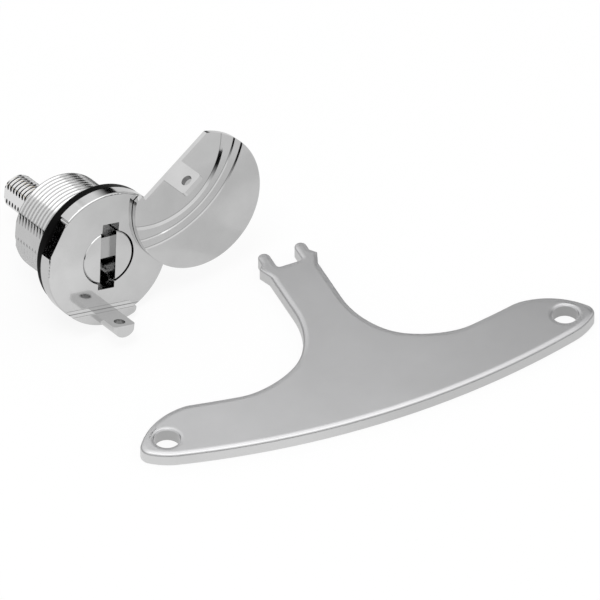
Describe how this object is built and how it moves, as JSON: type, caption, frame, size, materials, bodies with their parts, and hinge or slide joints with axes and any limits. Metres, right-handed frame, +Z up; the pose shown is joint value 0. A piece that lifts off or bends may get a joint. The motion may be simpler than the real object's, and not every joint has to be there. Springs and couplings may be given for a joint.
{
  "type": "enclosure lock with key handle",
  "caption": "Flat two-pronged key with a curved bow, beside a quarter-turn enclosure lock with a threaded barrel and a padlockable swing cover standing open.",
  "frame": {"origin": "middle of the footprint, on the table that the key and the lock lie on", "axes": "+X along the key's bow, from its left hole to its right hole; +Y from the bow towards the fork's tips; +Z up from the table"},
  "size_m": [0.1404, 0.1214, 0.0458],
  "materials": {
    "polished_chrome": "polished",
    "satin_nickel": "satin",
    "plain_steel": "machined",
    "turned_brass": "machined",
    "black_rubber": "matte"
  },
  "bodies": {
    "lock_body": {"housing": "polished_chrome", "panel_gasket": "black_rubber", "rear_bush": "turned_brass", "bush_dowel": "plain_steel", "retaining_ring": "plain_steel", "spindle_seal": "black_rubber"},
    "rotor_group": {"rotor": "polished_chrome", "rotor_seal": "black_rubber", "thrust_washer": "plain_steel", "disc_spring": "plain_steel", "drive_pin": "plain_steel", "spindle": "plain_steel", "detent_ball_upper": "plain_steel", "detent_ball_lower": "plain_steel", "detent_spring_upper": "plain_steel", "detent_spring_lower": "plain_steel"},
    "cover_group": {"cover": "polished_chrome", "pivot_pin": "plain_steel", "pivot_washer": "plain_steel"},
    "key": {"fork_key": "satin_nickel"}
  },
  "joints": [
    {"name": "cover_swing", "type": "hinge", "parent": "lock_body", "child": "cover_group", "pos_m": [-0.03457, 0.01488, 0.0176], "axis": [0.1548, -0.9661, 0.2065], "range_deg": [-30, 137.2]},
    {"name": "rotor_turn", "type": "hinge", "parent": "lock_body", "child": "rotor_group", "pos_m": [-0.05038, 0.01283, 0.01985], "axis": [0.1548, -0.9661, 0.2065], "range_deg": [-90, 0]},
    {"name": "key_lift", "type": "slide", "parent": "lock_body", "child": "key", "axis": [0, 0, 1], "range_m": [0, 0.06]}
  ]
}
